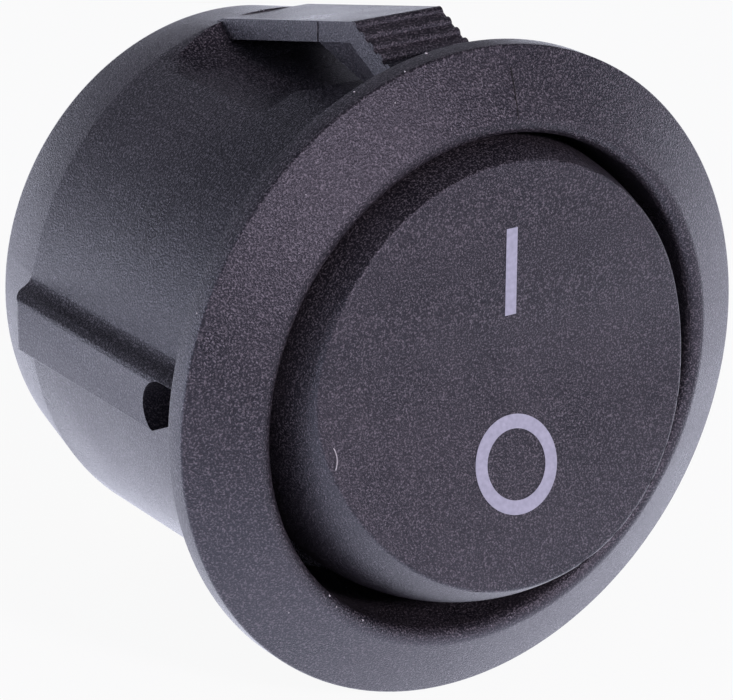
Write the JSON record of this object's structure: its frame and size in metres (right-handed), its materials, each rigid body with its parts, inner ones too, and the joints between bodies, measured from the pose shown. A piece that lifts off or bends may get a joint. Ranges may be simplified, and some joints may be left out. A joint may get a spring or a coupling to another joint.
{
  "type": "panel rocker switch",
  "caption": "Round snap-in rocker switch: conical bezel, tilting face over a sprung rocking contact, serrated snap wings, side keys and flat tab terminals behind.",
  "frame": {"origin": "centre of the panel seat, the rear face of the bezel, on the axis of the barrel", "axes": "-Y towards the user, +Y back through the panel along the barrel's axis, +Z towards the I end of the rocker, +X to the right as the user sees it"},
  "size_m": [0.023, 0.0272, 0.023],
  "materials": {
    "housing": "black nylon with a fine spark-eroded grain",
    "rocker": "black nylon with a fine even grain and white printed marks",
    "plunger": "natural acetal, smooth",
    "spring": "drawn spring wire",
    "contact_strip": "rolled copper alloy strip",
    "contacts": "silver contact alloy",
    "terminals": "stamped brass strip, plain"
  },
  "bodies": {
    "housing": {"housing": "housing", "common_terminal": "terminals", "contact_terminal": "terminals", "fixed_contact": "contacts"},
    "rocker": {"rocker": "rocker", "spring": "spring"},
    "plunger": {"plunger": "plunger"},
    "contact_strip": {"contact_strip": "contact_strip", "moving_contact": "contacts"}
  },
  "joints": [
    {"name": "rocker_pivot", "type": "hinge", "parent": "housing", "child": "rocker", "pos_m": [0, 0.0022, 0], "axis": [1, 0, 0], "range_deg": [0, 17]},
    {"name": "strip_rocking", "type": "hinge", "parent": "housing", "child": "contact_strip", "pos_m": [0, 0.01099, 0], "axis": [1, 0, 0], "range_deg": [-14, 0]},
    {"name": "plunger_slide", "type": "slide", "parent": "rocker", "child": "plunger", "axis": [0, 0.989, -0.1478], "range_m": [0, 0.0002], "stiffness_N_per_m": 300}
  ],
  "couplings": [
    {"joint": "strip_rocking", "follows": "rocker_pivot", "ratio": -0.82352}
  ]
}
